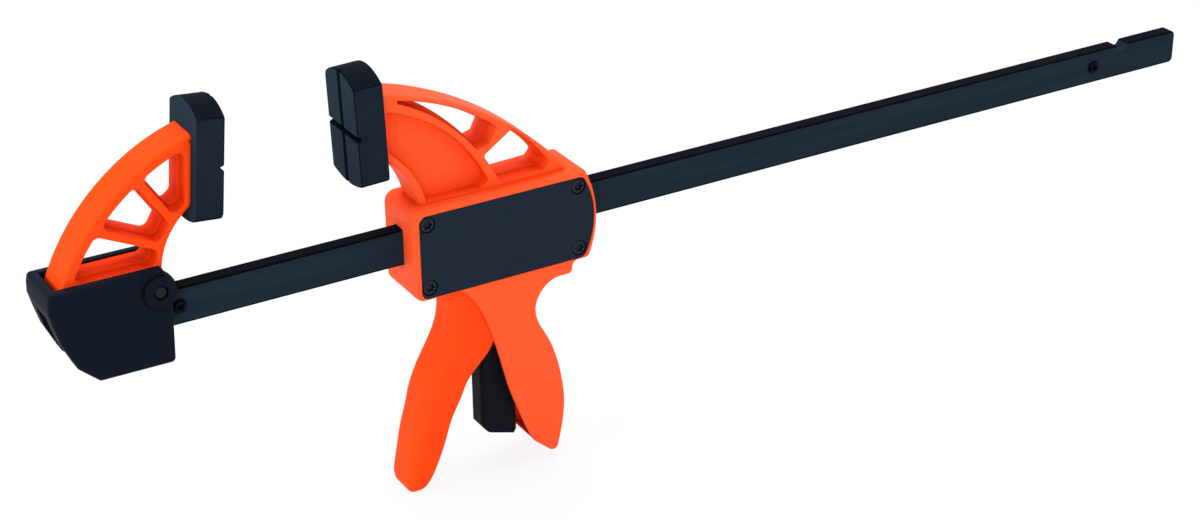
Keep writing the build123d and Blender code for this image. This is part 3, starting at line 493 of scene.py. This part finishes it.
@dataclass(frozen=True)
class BlackedStrip(Finish):
    """Drawn steel strip with a black oxide finish."""

    colour: Colour = (0.0115, 0.0205, 0.032)
    wear_and_reflection_tone: Colour = (0.021, 0.0335, 0.046)
    # Painted shade colour: top and bottom faces, their rounded corners and rings round the stop
    # pins.
    painted_shade: Colour = (0.0015, 0.002, 0.004)
    lines: Noise = Noise(1.0, 4.0, 0.65)
    line_stretch: Triple = (9.0, 700.0, 700.0)
    line_roughness: float = 0.22
    line_depth_mm: float = 0.03
    line_strength: float = 0.35
    streaks: Noise = Noise(1.0, 3.0)
    streak_stretch: Triple = (14.0, 220.0, 220.0)
    streak_band: Pair = (0.45, 0.8)
    streak_share: float = 0.5
    axis_height_mm: float = 105.0
    half_height_mm: float = 7.3
    half_thickness_mm: float = 3.1
    edge_band: Pair = (0.88, 0.94)
    side_band: Pair = (0.7, 0.84)
    edge_share: float = 0.9
    pins_mm: tuple[Pair, ...] = ((-209.5, 105.0), (214.0, 105.0))
    pin_ring_mm: float = 2.9
    ring_band: Pair = (0.4, 0.6)
    ring_share: float = 0.95
    roughness: float = 0.58
    specular: float = 0.008

    def lay(self, bench: ShaderBench) -> None:
        """Drawing lines along the bar, a few lighter streaks of wear, and painted shade on the
        top and bottom faces, their rounded corners and round the stop pins.

        Args:
            bench: The bench to lay them out on.
        """
        lines = bench.grain(bench.stretched(self.line_stretch), self.lines)
        streaks = bench.grain(bench.stretched(self.streak_stretch), self.streaks)
        _, across, up = bench.parts(bench.place())
        off_axis = (up - self.axis_height_mm * MM).size()
        beside = (across.size() * (PER_MM / self.half_thickness_mm)).rising(self.side_band)
        above = (off_axis * (PER_MM / self.half_height_mm)).rising(self.edge_band)
        wear_and_edge_reflection = streaks.rising(self.streak_band) * self.streak_share
        body = bench.blend(wear_and_edge_reflection, self.colour, self.wear_and_reflection_tone)
        # Painted shade on the top and bottom faces, and painted shadow rings round the stop pins.
        dark = above * self.edge_share
        for x, z in self.pins_mm:
            dark = dark.larger(self._ring(bench, x, z))
        edged = bench.blend(dark, body, self.painted_shade)
        bench.surface(
            Base_Color=bench.blend(beside * above * self.edge_share, edged, self.painted_shade),
            Metallic=0.0,
            Roughness=self.roughness + lines.centred() * self.line_roughness,
            Specular_IOR_Level=self.specular,
            Normal=bench.bump(lines, self.line_depth_mm, self.line_strength),
        )

    def _ring(self, bench: ShaderBench, x: float, z: float) -> Wire:
        """A painted shadow ring round a stop pin.

        Args:
            bench: The bench that the bar's finish is laid out on.
            x: The pin's place along the bar, in millimetres.
            z: Its height.

        Returns:
            Nearly 1 in the ring and 0 outside it.
        """
        along, _, up = bench.parts(bench.place())
        off_x, off_z = (along - x * MM) * PER_MM, (up - z * MM) * PER_MM
        share = (off_x * off_x + off_z * off_z) * (0.5 / self.pin_ring_mm**2)
        return share.falling(self.ring_band) * self.ring_share


@dataclass(frozen=True)
class PadRubber(Finish):
    """Soft black elastomer with a dull skin."""

    colour: Colour = (0.0085, 0.0145, 0.024)
    dusty: Colour = (0.014, 0.022, 0.033)
    # Painted shade colour: top, rounded edges and grooves.
    edge: Colour = (0.0012, 0.0016, 0.003)
    # Faces along the bar: partly wear from pressing, partly painted light on the lit clamping
    # face.
    pressed_and_lit: Colour = (0.014, 0.0255, 0.041)
    bloom: Noise = Noise(60.0, 4.0, 0.6)
    bloom_band: Pair = (0.4, 0.75)
    bloom_share: float = 0.7
    bloom_roughness: float = 0.12
    pebble: Noise = Noise(1700.0, 1.0, 0.5)
    pebble_depth_mm: float = 0.06
    pebble_strength: float = 0.5
    groove: Recess = Recess(2.6, 3.2)
    round_band: Pair = (0.78, 0.93)
    round_share: float = 0.9
    side_band: Pair = (0.45, 0.85)
    top_share: float = 0.7
    roughness: float = 0.62
    specular: float = 0.015

    def lay(self, bench: ShaderBench) -> None:
        """A dull bloom over a fine pebbled skin, lighter on the faces along the bar, with painted
        shade on top, where the block is rounded and in its grooves.

        Args:
            bench: The bench to lay them out on.
        """
        spot = bench.place()
        bloom = bench.grain(spot, self.bloom).rising(self.bloom_band)
        pebble = bench.grain(spot, self.pebble)
        skin = bench.blend(bloom * self.bloom_share, self.colour, self.dusty)
        body = bench.blend(bench.facing(Facing.ENDWAYS, self.side_band), skin, self.pressed_and_lit)
        # Painted shade on rounded edges, in grooves and on top.
        edges = bench.rounding(self.round_band).larger(bench.hollow(self.groove))
        top = bench.facing(Facing.UPWARD, self.side_band)
        dark = (edges * self.round_share).larger(top * self.top_share)
        bench.surface(
            Base_Color=bench.blend(dark, body, self.edge),
            Roughness=self.roughness + bloom * self.bloom_roughness,
            Specular_IOR_Level=self.specular,
            Normal=bench.bump(pebble, self.pebble_depth_mm, self.pebble_strength),
        )


@dataclass(frozen=True)
class TurnedSteel(Finish):
    """Steel of the pins, screws, springs and plates."""

    colour: Colour
    roughness: float
    metal: float
    specular: float = 0.1
    haze: Noise = Noise(900.0, 3.0, 0.6)
    haze_brightness: float = 1.5
    haze_roughness: float = 0.2
    haze_depth_mm: float = 0.02
    haze_strength: float = 0.3
    # Reach of the painted shade in the piece's hollows.
    seat: Recess = Recess(1.2, 2.2)
    hollow_shade_brightness: float = 0.12

    def lay(self, bench: ShaderBench) -> None:
        """Fine machining haze over plain metal, with painted shade in its hollows.

        Args:
            bench: The bench to lay it out on.
        """
        haze = bench.grain(bench.place(), self.haze)
        bright = tuple(channel * self.haze_brightness for channel in self.colour)
        dark = tuple(channel * self.hollow_shade_brightness for channel in self.colour)
        body = bench.blend(haze, self.colour, bright)
        bench.surface(
            Base_Color=bench.blend(bench.hollow(self.seat), body, dark),
            Metallic=self.metal,
            Roughness=self.roughness + haze.centred() * self.haze_roughness,
            Specular_IOR_Level=self.specular,
            Normal=bench.bump(haze, self.haze_depth_mm, self.haze_strength),
        )


# The moulding's orange is the jaw's orange with a painted sheen in its colour; both are one
# nylon.
HANDLE_ORANGE_WITH_SHEEN = MouldedPlastic(
    "orange_nylon",
    "orange_plastic",
    colour=(1.0, 0.098, 0.025),
    shade=(1.0, 0.091, 0.021),
    edge=(1.0, 0.1, 0.018),
    deep=(0.86, 0.058, 0.0015),
    specular=0.06,
)
JAW_ORANGE = MouldedPlastic(
    "deep_orange_nylon",
    "orange_plastic",
    colour=(1.0, 0.066, 0.007),
    shade=(1.0, 0.059, 0.0045),
    edge=(1.0, 0.085, 0.008),
    deep=(0.72, 0.046, 0.001),
    specular=0.03,
)
SHOE_BLACK = MouldedPlastic(
    "black_nylon",
    "black_plastic",
    colour=(0.0047, 0.0079, 0.0148),
    shade=(0.0036, 0.0065, 0.0125),
    edge=(0.0016, 0.0024, 0.005),
    deep=(0.0008, 0.001, 0.002),
    roughness=0.55,
    specular=0.03,
    pits=Noise(2200.0, 2.0, 0.7),
)
COVER_BLACK = MouldedPlastic(
    "cover_nylon",
    "black_plastic",
    colour=(0.0122, 0.0202, 0.034),
    shade=(0.0100, 0.0172, 0.030),
    edge=(0.003, 0.004, 0.008),
    deep=(0.002, 0.003, 0.006),
    edge_radius_mm=0.35,
    roughness=0.55,
    specular=0.03,
    pits=Noise(3000.0, 2.0, 0.7),
)
LEVER_BLACK = MouldedPlastic(
    "lever_nylon",
    "black_plastic",
    colour=(0.0068, 0.0078, 0.0135),
    shade=(0.0054, 0.0063, 0.0112),
    edge=(0.02, 0.021, 0.03),
    deep=(0.0012, 0.0014, 0.0024),
    specular=0.03,
    pits=Noise(2200.0, 2.0, 0.7),
)
STRIP = BlackedStrip("blacked_strip", "black_steel")
RUBBER = PadRubber("moulded_rubber", "pad_rubber")
DARK_STEEL = TurnedSteel(
    "dark_steel",
    "black_steel",
    colour=(0.003, 0.004, 0.0065),
    roughness=0.5,
    metal=0.0,
    specular=0.03,
)
PIN_STEEL = TurnedSteel(
    "pin_steel",
    "black_steel",
    colour=(0.011, 0.0145, 0.018),
    roughness=0.5,
    metal=0.5,
)
HEAD_STEEL = TurnedSteel(
    "screw_head_steel",
    "black_steel",
    colour=(0.0165, 0.0195, 0.026),
    roughness=0.55,
    metal=0.0,
    specular=0.04,
)
# Painted shade: the sockets are the heads' steel, drawn near black.
SOCKET_SHADE = TurnedSteel(
    "socket_painted_shade",
    "black_steel",
    colour=(0.0006, 0.0007, 0.001),
    roughness=0.6,
    metal=0.0,
    specular=0.0,
)
BRIGHT_STEEL = TurnedSteel(
    "bright_steel",
    "bright_steel",
    colour=(0.5, 0.51, 0.53),
    roughness=0.3,
    metal=1.0,
)


@dataclass(frozen=True)
class RoundCorner:
    """A rounded corner of the side view; up is 1 for a top corner and -1 for a bottom one."""

    x_mm: float
    z_mm: float
    up: float
    radius_mm: float


class Skin:
    """A copy of a CAD node's skin, shaped a little further, that then stands for the node."""

    def __init__(self, frame: dict[str, Any], node: str) -> None:
        """Merges the node's loose triangles into flat faces.

        Args:
            frame: The loaded frame.
            node: The node that is copied.
        """
        self.node = node
        self.body = frame_body(frame, node)
        self.mesh = welded_copy(frame, node)
        bmesh.ops.dissolve_limit(
            self.mesh,
            angle_limit=FLAT_WITHIN,
            use_dissolve_boundaries=False,
            verts=self.mesh.verts[:],
            edges=self.mesh.edges[:],
        )

    def outer_edges(self, where: Callable[[Vector], bool]) -> list[Any]:
        """Sharp edges at which the solid turns outward.

        Args:
            where: Says whether an edge's middle is in the place meant.

        Returns:
            The edges.
        """
        return [
            edge
            for edge in self.mesh.edges
            if edge.is_manifold
            and edge.is_convex
            and edge.calc_face_angle() > SHARP_FROM
            and where((edge.verts[0].co + edge.verts[1].co) / 2)
        ]

    def soften(self, edges: list[Any], radius_mm: float, segments: int) -> None:
        """Rounds edges.

        Args:
            edges: The edges.
            radius_mm: The rounding's radius.
            segments: How many faces make the rounding.
        """
        bmesh.ops.bevel(
            self.mesh,
            geom=edges,
            offset=radius_mm * MM,
            offset_type="OFFSET",
            segments=segments,
            profile=0.5,
            affect="EDGES",
            clamp_overlap=False,
            material=-1,
        )

    def widen(self, corner: RoundCorner, wider_mm: float) -> None:
        """Gives a rounded corner on the left of the side view a larger radius.

        Args:
            corner: The corner as it is.
            wider_mm: Its new radius.
        """
        radius, up = corner.radius_mm, corner.up
        for vert in self.mesh.verts:
            across = corner.x_mm + radius - vert.co.x / MM
            along = up * (vert.co.z / MM - corner.z_mm) + radius
            reach = (across**2 + along**2) ** 0.5
            if min(across, along) < -HAIR_MM or not HAIR_MM < reach < radius + HAIR_MM:
                continue
            growth = (wider_mm - radius + reach) / reach
            vert.co.x = (corner.x_mm + wider_mm - across * growth) * MM
            vert.co.z = (corner.z_mm - up * (wider_mm - along * growth)) * MM

    def finish(self, name: str, coat: Finish) -> bpy.types.Object:
        """Makes the piece, which replaces the node and rides where it rode.

        Args:
            name: The piece's name.
            coat: Its finish.

        Returns:
            The piece.
        """
        for face in self.mesh.faces:
            face.smooth = True
        piece = piece_of(self.mesh, name, self.body, coat)
        piece.data.set_sharp_from_angle(angle=SMOOTH_BELOW)
        evening = piece.modifiers.new("even_normals", "WEIGHTED_NORMAL")
        evening.keep_sharp = True
        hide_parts(self.node)
        return piece


def frame_body(frame: dict[str, Any], node: str) -> str:
    """The name of the body that a node rides on."""
    bodies = frame["record"]["behaviour"]["bodies"]
    return next(name for name, nodes in bodies.items() if node in nodes)


def row_named(rows: list[dict[str, Any]], name: str) -> dict[str, Any]:
    """The row of one of the record's lists that has a name."""
    return next(row for row in rows if row["name"] == name)


def welded_copy(frame: dict[str, Any], node: str) -> Any:
    """Copies a CAD node's mesh and welds its loose triangles.

    Args:
        frame: The loaded frame.
        node: The node that is copied.

    Returns:
        The copy as a bmesh.
    """
    mesh = bmesh.new()
    mesh.from_mesh(frame["nodes"][node].data)
    bmesh.ops.remove_doubles(mesh, verts=mesh.verts[:], dist=WELD)
    return mesh


def piece_of(mesh: Any, name: str, body: str, coat: Finish) -> bpy.types.Object:
    """Turns a bmesh into a dressed piece that rides on a body.

    Args:
        mesh: The bmesh, which is used up.
        name: The piece's name.
        body: The body that it rides on.
        coat: Its finish.

    Returns:
        The piece.
    """
    data = bpy.data.meshes.new(name)
    mesh.to_mesh(data)
    mesh.free()
    piece = bpy.data.objects.new(name, data)
    bpy.context.scene.collection.objects.link(piece)
    coat.dress(piece)
    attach(piece, body)
    LOG.info("made %s in %s", name, coat.name)
    return piece


def dress_nodes(frame: dict[str, Any], finishes: dict[str, Finish]) -> None:
    """Gives CAD nodes that stay their finishes.

    Args:
        frame: The loaded frame.
        finishes: Each node's finish by the node's name.
    """
    for node, coat in finishes.items():
        coat.dress(frame["nodes"][node])
        LOG.info("dressed %s in %s", node, coat.name)


@dataclass
class BarStock:
    """The blacked strip and its stop pins."""

    frame: dict[str, Any]
    end_zone_mm: float = 2.6
    end_slope_mm: float = 4.2

    def build(self) -> None:
        """Makes the strip and dresses its pins."""
        self._strip()
        dress_nodes(self.frame, {"near_stop_pin": DARK_STEEL, "far_stop_pin": DARK_STEEL})

    def _strip(self) -> None:
        """The strip, its end in the shoe cut along the shoe's slope."""
        skin = Skin(self.frame, "bar")
        low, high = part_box("bar")
        for vert in skin.mesh.verts:
            if vert.co.x < low[0] + self.end_zone_mm * MM:
                depth = (high[2] - vert.co.z) / (high[2] - low[2])
                vert.co.x += depth * self.end_slope_mm * MM
        skin.finish("blacked_bar", STRIP)


@dataclass
class FixedJaw:
    """The fixed jaw in its shoe, with its pad."""

    frame: dict[str, Any]
    window_edge_mm: float = 0.55
    window_edge_faces: int = 3
    window_foot_mm: float = 11.0
    half_width_mm: float = 8.2
    pad_thickness_mm: float = 11.4
    thinner_mm: float = 0.6
    back_zone_mm: float = 0.4
    fade_mm: float = 12.0
    fade_foot_mm: float = 128.0
    fade_height_mm: float = 14.0

    def __post_init__(self) -> None:
        """Looks up the pad's grooved face and the way in which it faces."""
        face = row_named(self.frame["record"]["mounts"], "fixed_pad_face")
        self.pad_face = Vector(face["pos_m"])
        self.pad_axis = Vector(face["axis"])

    def build(self) -> None:
        """Rounds the arm, thins its pad and dresses the rest."""
        self._arm()
        self._pad()
        dress_nodes(
            self.frame,
            {"shoe": SHOE_BLACK, "fixed_jaw_pin": PIN_STEEL, "fixed_jaw_tooth": BRIGHT_STEEL},
        )

    def _behind_pad(self, spot: Vector) -> float:
        """How far a spot lies behind the CAD pad's back, in millimetres."""
        return (self.pad_face - spot).dot(self.pad_axis) / MM - self.pad_thickness_mm

    def _pull(self, vert: Any, share: float) -> None:
        """Moves a vertex towards the pad's grooved face by a share of the thinning."""
        vert.co += self.pad_axis * (share * self.thinner_mm * MM)

    def _arm(self) -> None:
        """The spoked arm, its window edges rounded and its tip drawn out to the pad."""
        skin = Skin(self.frame, "fixed_jaw_arm")
        low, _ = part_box("fixed_jaw_arm")

        def in_windows(spot: Vector) -> bool:
            """Whether a spot lies above the arm's foot and within its width."""
            above_foot = spot.z > low[2] + self.window_foot_mm * MM
            return above_foot and abs(spot.y) < self.half_width_mm * MM

        skin.soften(skin.outer_edges(in_windows), self.window_edge_mm, self.window_edge_faces)
        for vert in skin.mesh.verts:
            behind = self._behind_pad(vert.co)
            near = 1.0 - behind / self.fade_mm
            high = (vert.co.z / MM - self.fade_foot_mm) / self.fade_height_mm
            if behind > -self.back_zone_mm and near > 0.0 and high > 0.0:
                self._pull(vert, min(near, 1.0) * min(high, 1.0))
        skin.finish("spoked_arm", JAW_ORANGE)

    def _pad(self) -> None:
        """The pad, its back nearer to its face; it keeps the CAD node's own shading."""
        mesh = welded_copy(self.frame, "fixed_pad")
        for vert in mesh.verts:
            if self._behind_pad(vert.co) > -self.back_zone_mm:
                self._pull(vert, 1.0)
        piece = piece_of(mesh, "grooved_pad", frame_body(self.frame, "fixed_pad"), RUBBER)
        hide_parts("fixed_pad")


@dataclass
class CoverScrew:
    """One screw of the cover, turned about its own axis with its head's face at height 0."""

    head_radius_mm: float = 2.75
    head_mm: float = 0.85
    crown_mm: float = 0.22
    rounding_mm: float = 0.15
    rim_mm: float = 0.3
    lip_mm: float = 0.08
    lip_depth_mm: float = 0.02
    lip_foot_mm: float = 0.1
    socket_radius_mm: float = 1.6
    socket_mm: float = 0.8
    socket_point_mm: float = 0.15
    lobe: float = 0.24
    lobes: int = 6
    lobed_rim_mm: float = 0.2
    lobed_floor_mm: float = 0.05
    shaded_from_mm: float = 0.04
    shank_radius_mm: float = 1.38
    core_radius_mm: float = 1.1
    tip_share: float = 0.7
    plain_tip_mm: float = 0.4
    pitch_mm: float = 0.8
    length_mm: float = 7.8
    steps: int = 48

    def _shank(self) -> list[Pair]:
        """Radii and heights of the thread, from its tip up.

        Returns:
            The points.
        """
        points = [(0.0, -self.length_mm), (self.core_radius_mm * self.tip_share, -self.length_mm)]
        height = self.plain_tip_mm - self.length_mm
        while height < -self.head_mm - self.pitch_mm:
            points += [
                (self.core_radius_mm, height),
                (self.shank_radius_mm, height + self.pitch_mm / 2),
            ]
            height += self.pitch_mm
        return points

    def _head(self) -> list[Pair]:
        """Radii and heights from under the head, over its crown to the socket's floor.

        Returns:
            The points.
        """
        outer, inner = self.head_radius_mm, self.socket_radius_mm
        curve, crown = self.rounding_mm, self.crown_mm
        # The crown is level round the socket and falls faster towards the rim.
        return [
            (self.core_radius_mm, -self.head_mm),
            (outer - curve, -self.head_mm),
            (outer, curve - self.head_mm),
            (outer, -crown - curve),
            (outer - 0.5 * curve, -crown - 0.4 * curve),
            (outer - 2 * curve, -crown * 0.55),
            (outer - 5 * curve, -crown * 0.12),
            (inner + self.rim_mm, 0.0),
            (inner + self.lip_mm, -self.lip_depth_mm),
            (inner, -self.lip_foot_mm),
            (inner, -self.socket_mm),
            (0.0, -self.socket_mm - self.socket_point_mm),
        ]

    def _spread_lobes(self, turned: Any) -> None:
        """Draws the round socket out into lobes.

        Args:
            turned: The screw's bmesh.
        """
        for vert in turned.verts:
            in_socket = vert.co.xy.length < (self.socket_radius_mm + self.lobed_rim_mm) * MM
            if in_socket and vert.co.z > -(self.socket_mm + self.lobed_floor_mm) * MM:
                bearing = atan2(vert.co.y, vert.co.x)
                swell = 1.0 + self.lobe * cos(self.lobes * bearing)
                vert.co.x *= swell
                vert.co.y *= swell

    def mesh(self) -> bpy.types.Mesh:
        """The screw, its axis along Z, with its socket in the second material, which paints shade
        in it.

        Returns:
            The mesh.
        """
        turned = bmesh.new()
        profile = self._shank() + self._head()
        chain = [turned.verts.new((r * MM, 0.0, z * MM)) for r, z in profile]
        lines = [turned.edges.new(pair) for pair in zip(chain, chain[1:])]
        bmesh.ops.spin(
            turned,
            geom=chain + lines,
            axis=(0.0, 0.0, 1.0),
            cent=(0.0, 0.0, 0.0),
            angle=radians(360.0),
            steps=self.steps,
            use_merge=True,
        )
        bmesh.ops.remove_doubles(turned, verts=turned.verts[:], dist=WELD)
        self._spread_lobes(turned)
        bmesh.ops.recalc_face_normals(turned, faces=turned.faces[:])
        reach = self.socket_radius_mm * (1.0 + self.lobe) * MM
        for face in turned.faces:
            middle = face.calc_center_median()
            sunk = -self.head_mm * MM < middle.z < -self.shaded_from_mm * MM
            face.material_index = int(sunk and middle.xy.length < reach)
        made = bpy.data.meshes.new("one_screw")
        turned.to_mesh(made)
        turned.free()
        return made


@dataclass
class MovingJaw:
    """The one-piece moulding of jaw, housing and handle, with what is screwed to it."""

    frame: dict[str, Any]
    body_corners: tuple[RoundCorner, ...] = (
        RoundCorner(-120.0, 122.7, 1.0, 2.4),
        RoundCorner(-120.0, 85.0, -1.0, 2.4),
    )
    wider_mm: tuple[float, ...] = (4.6, 4.0)
    cover_face_mm: float = 12.6
    screw_places_mm: tuple[Pair, ...] = (
        (-114.1, 116.5),
        (-114.1, 90.5),
        (-49.5, 116.5),
        (-49.5, 90.5),
    )

    def build(self) -> None:
        """Dresses the moulding and its fittings."""
        self._moulding()
        dress_nodes(
            self.frame,
            {
                "moving_pad": RUBBER,
                "front_cover": COVER_BLACK,
                "trigger_pin": BRIGHT_STEEL,
                "release_pin": BRIGHT_STEEL,
            },
        )
        self._screws()

    def _moulding(self) -> None:
        """The moulding, its two corners by the bar more rounded."""
        skin = Skin(self.frame, "housing")
        for corner, wider in zip(self.body_corners, self.wider_mm):
            skin.widen(corner, wider)
        skin.finish("jaw_and_handle", HANDLE_ORANGE_WITH_SHEEN)

    def _screws(self) -> None:
        """Four screws with six-lobed sockets and threaded shanks."""
        one = CoverScrew().mesh()
        mesh = bmesh.new()
        for x, z in self.screw_places_mm:
            mesh.from_mesh(one)
            mesh.verts.ensure_lookup_table()
            spot = Vector((x, -self.cover_face_mm, z)) * MM
            facing = Matrix.Translation(spot) @ Matrix.Rotation(radians(90.0), 4, "X")
            bmesh.ops.transform(mesh, matrix=facing, verts=mesh.verts[-len(one.vertices) :])
        for face in mesh.faces:
            face.smooth = True
        piece = piece_of(mesh, "cover_screws", "moving_jaw", HEAD_STEEL)
        # The sockets' faces take the painted shade.
        piece.data.materials.append(SOCKET_SHADE.material())
        piece.data.set_sharp_from_angle(angle=SMOOTH_BELOW)
        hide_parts("front_cover_screws")


@dataclass
class Grip:
    """The trigger and the release lever."""

    frame: dict[str, Any]

    def build(self) -> None:
        """Dresses both."""
        dress_nodes(self.frame, {"trigger": JAW_ORANGE, "release_lever": LEVER_BLACK})


@dataclass
class Mechanism:
    """The grip plates and springs inside the housing."""

    frame: dict[str, Any]

    def build(self) -> None:
        """Dresses the plates and the brake's spring, and makes the drive spring's piece."""
        inside = ("drive_plate_front", "drive_plate_back", "brake_plate", "brake_spring")
        dress_nodes(self.frame, {node: BRIGHT_STEEL for node in inside})
        self._drive_spring()

    def _drive_spring(self) -> None:
        """The drive spring, remade from its CAD node's skin; it doesn't shorten with the plates.
        """
        low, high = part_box("drive_spring")
        spring = Skin(self.frame, "drive_spring").finish("drive_coil", BRIGHT_STEEL)
        travel = row_named(self.frame["joints"], "drive_slide")["range_m"][1]
        keep = 1.0 - travel / (high[0] - low[0])
        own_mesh(spring)


@dataclass(frozen=True)
class SoftLamp:
    """A square soft lamp that points at a target, in metres and watts."""

    name: str
    place: Triple
    target: Triple
    size: float
    power: float

    def hang(self) -> None:
        """Hangs the lamp in the scene."""
        data = bpy.data.lights.new(self.name, "AREA")
        data.size = self.size
        data.energy = self.power
        lamp = bpy.data.objects.new(self.name, data)
        lamp.location = self.place
        heading = Vector(self.target) - Vector(self.place)
        lamp.rotation_euler = heading.to_track_quat("-Z", "Y").to_euler()
        bpy.context.scene.collection.objects.link(lamp)


@dataclass
class Studio:
    """Pale floor, soft lamps and the camera, in metres, degrees and millimetres of lens."""

    floor_size: float = 8.0
    floor_glow: float = 0.85
    paper: tuple[float, float, float, float] = (0.9, 0.9, 0.9, 1.0)
    surround: float = 0.32
    lamps: tuple[SoftLamp, ...] = (
        SoftLamp("overhead", (0.1, 0.25, 1.3), (0.0, 0.0, 0.08), 1.3, 17.0),
        SoftLamp("front", (-0.9, -1.5, 0.9), (0.0, 0.0, 0.1), 1.1, 13.0),
        SoftLamp("left", (-1.6, 0.1, 0.7), (-0.15, 0.0, 0.1), 0.9, 14.5),
        SoftLamp("right", (1.4, -0.9, 0.6), (0.0, 0.0, 0.1), 0.9, 5.0),
    )
    camera_place: Triple = (-0.4888, -0.7776, 0.5251)
    azimuth: float = 30.38
    elevation: float = 26.51
    roll: float = -0.72
    lens: float = 76.404
    sensor_width: float = 36.0
    nearest: float = 0.01

    def build(self) -> None:
        """Sets up everything round the clamp."""
        self._floor()
        self._world()
        for lamp in self.lamps:
            lamp.hang()
        self._camera()

    def _floor(self) -> None:
        """A white floor that keeps the clamp's shadow."""
        mesh = bpy.data.meshes.new("floor")
        shell = bmesh.new()
        bmesh.ops.create_grid(shell, x_segments=1, y_segments=1, size=self.floor_size / 2)
        shell.to_mesh(mesh)
        shell.free()
        floor = bpy.data.objects.new("floor", mesh)
        bpy.context.scene.collection.objects.link(floor)
        material = bpy.data.materials.new("floor_paper")
        bench = ShaderBench(material)
        paper = bench.add("ShaderNodeBsdfDiffuse", {}, {"Color": self.paper})
        glow = bench.add("ShaderNodeEmission", {}, {"Color": WHITE, "Strength": 1.0})
        share = bench.backdrop_share() * self.floor_glow
        bench.end_in(bench.add("ShaderNodeMixShader", {}, {0: share, 1: paper, 2: glow}))
        mesh.materials.append(material)

    def _world(self) -> None:
        """An even surround, white where it is seen and dimmer where it lights the clamp."""
        world = bpy.data.worlds.new("studio")
        bpy.context.scene.world = world
        bench = ShaderBench(world, "ShaderNodeOutputWorld")
        level = bench.backdrop_share() * (1.0 - self.surround) + self.surround
        bench.end_in(bench.add("ShaderNodeBackground", {}, {"Color": WHITE, "Strength": level}))

    def _camera(self) -> None:
        """The view from the front left and above."""
        turn, rise, roll = radians(self.azimuth), radians(self.elevation), radians(self.roll)
        ahead = Vector((sin(turn) * cos(rise), cos(turn) * cos(rise), -sin(rise)))
        level = Vector((cos(turn), -sin(turn), 0.0))
        upright = level.cross(ahead)
        right = cos(roll) * level + sin(roll) * upright
        up = cos(roll) * upright - sin(roll) * level
        data = bpy.data.cameras.new("view")
        data.lens = self.lens
        data.sensor_width = self.sensor_width
        data.clip_start = self.nearest
        camera = bpy.data.objects.new("view", data)
        pose = Matrix((right, up, -ahead)).transposed().to_4x4()
        pose.translation = Vector(self.camera_place)
        camera.matrix_world = pose
        bpy.context.scene.collection.objects.link(camera)
        bpy.context.scene.camera = camera


def main() -> None:
    """Builds the clamp's pieces in order."""
    logging.basicConfig(level=logging.INFO, format="%(message)s")
    bpy.ops.wm.read_factory_settings(use_empty=True)
    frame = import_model()
    for assembly in (BarStock, FixedJaw, MovingJaw, Grip, Mechanism):
        assembly(frame).build()
    Studio().build()
    bpy.context.scene.view_settings.view_transform = "Standard"


if __name__ == "__main__":
    main()
